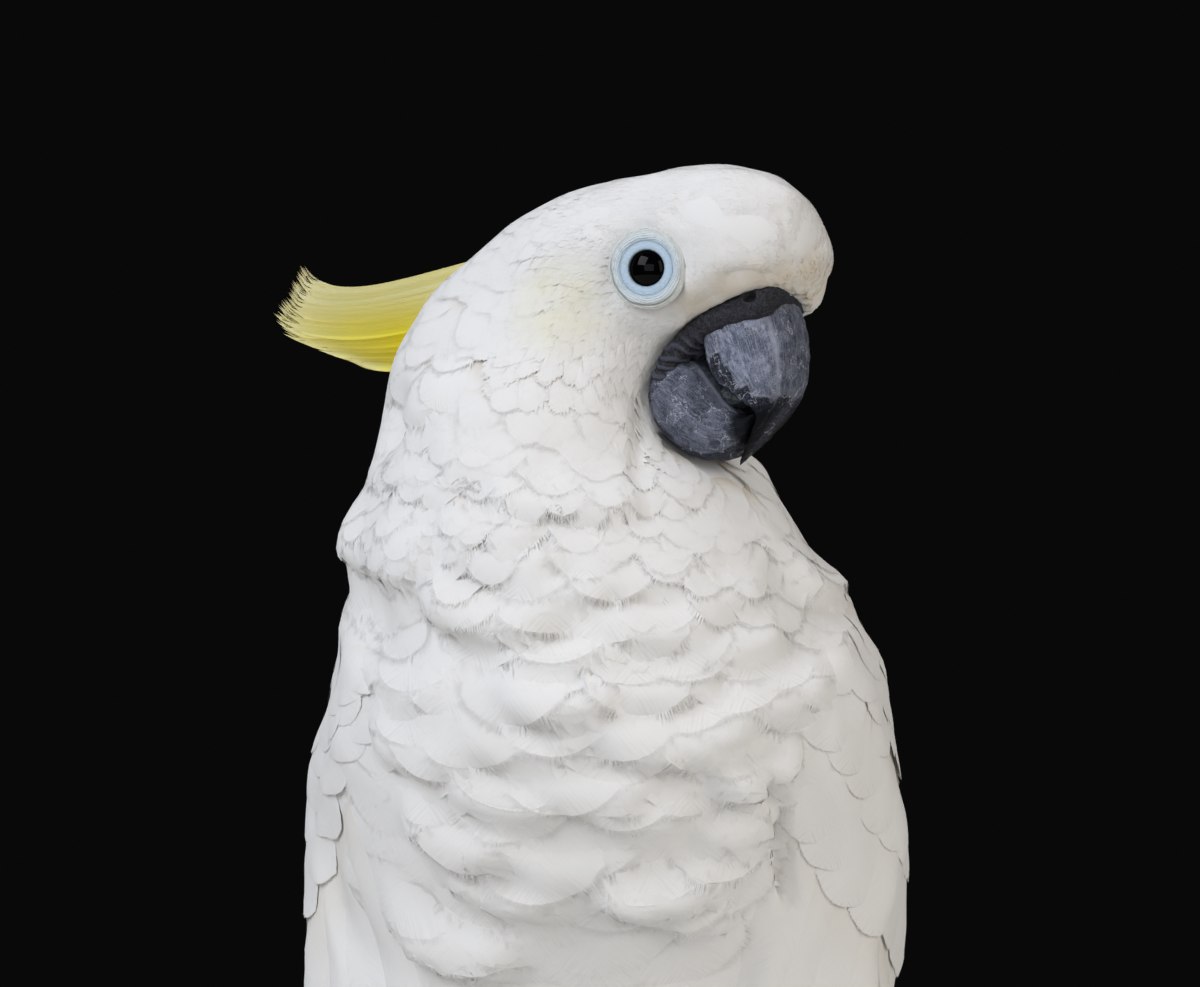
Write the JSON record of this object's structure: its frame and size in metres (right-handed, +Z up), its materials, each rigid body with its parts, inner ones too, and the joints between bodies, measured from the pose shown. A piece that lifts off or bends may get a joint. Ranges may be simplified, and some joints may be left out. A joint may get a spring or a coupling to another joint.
{
  "type": "sulphur-crested cockatoo",
  "caption": "Life-size still model of a white cockatoo with a yellow crest, standing upright with its head turned to its left.",
  "frame": {"origin": "middle of the bird's outline, on the floor it stands on", "axes": "+Z up, the breast faces -Y, the tail lies along +Y, the bird's left side is +X"},
  "size_m": [0.155, 0.2782, 0.2894],
  "materials": {
    "plumage": "white contour feathers, matt",
    "flight": "white wing and tail feathers, faint sheen",
    "crest": "lemon-yellow plumes, matt",
    "bill": "blue-black horn, satin, scratched",
    "bare_skin": "dark wrinkled skin",
    "eye": "black, wet gloss",
    "eye_ring": "pale blue wrinkled skin",
    "leg": "grey scaled skin",
    "claw": "dark horn, satin"
  },
  "bodies": {
    "root": {"left_eye": "eye", "left_eye_ring": "eye_ring", "left_thigh": "plumage", "left_claw_1": "claw", "left_claw_2": "claw", "left_claw_3": "claw", "left_claw_4": "claw", "left_foot": "leg", "left_wing": "flight", "right_eye": "eye", "right_eye_ring": "eye_ring", "right_thigh": "plumage", "right_claw_1": "claw", "right_claw_2": "claw", "right_claw_3": "claw", "right_claw_4": "claw", "right_foot": "leg", "right_wing": "flight", "head": "plumage", "neck": "plumage", "trunk": "plumage", "tail": "flight", "crest": "crest", "upper_bill": "bill", "lower_bill": "bill", "bill_skin": "bare_skin", "tongue": "bare_skin"}
  },
  "joints": []
}
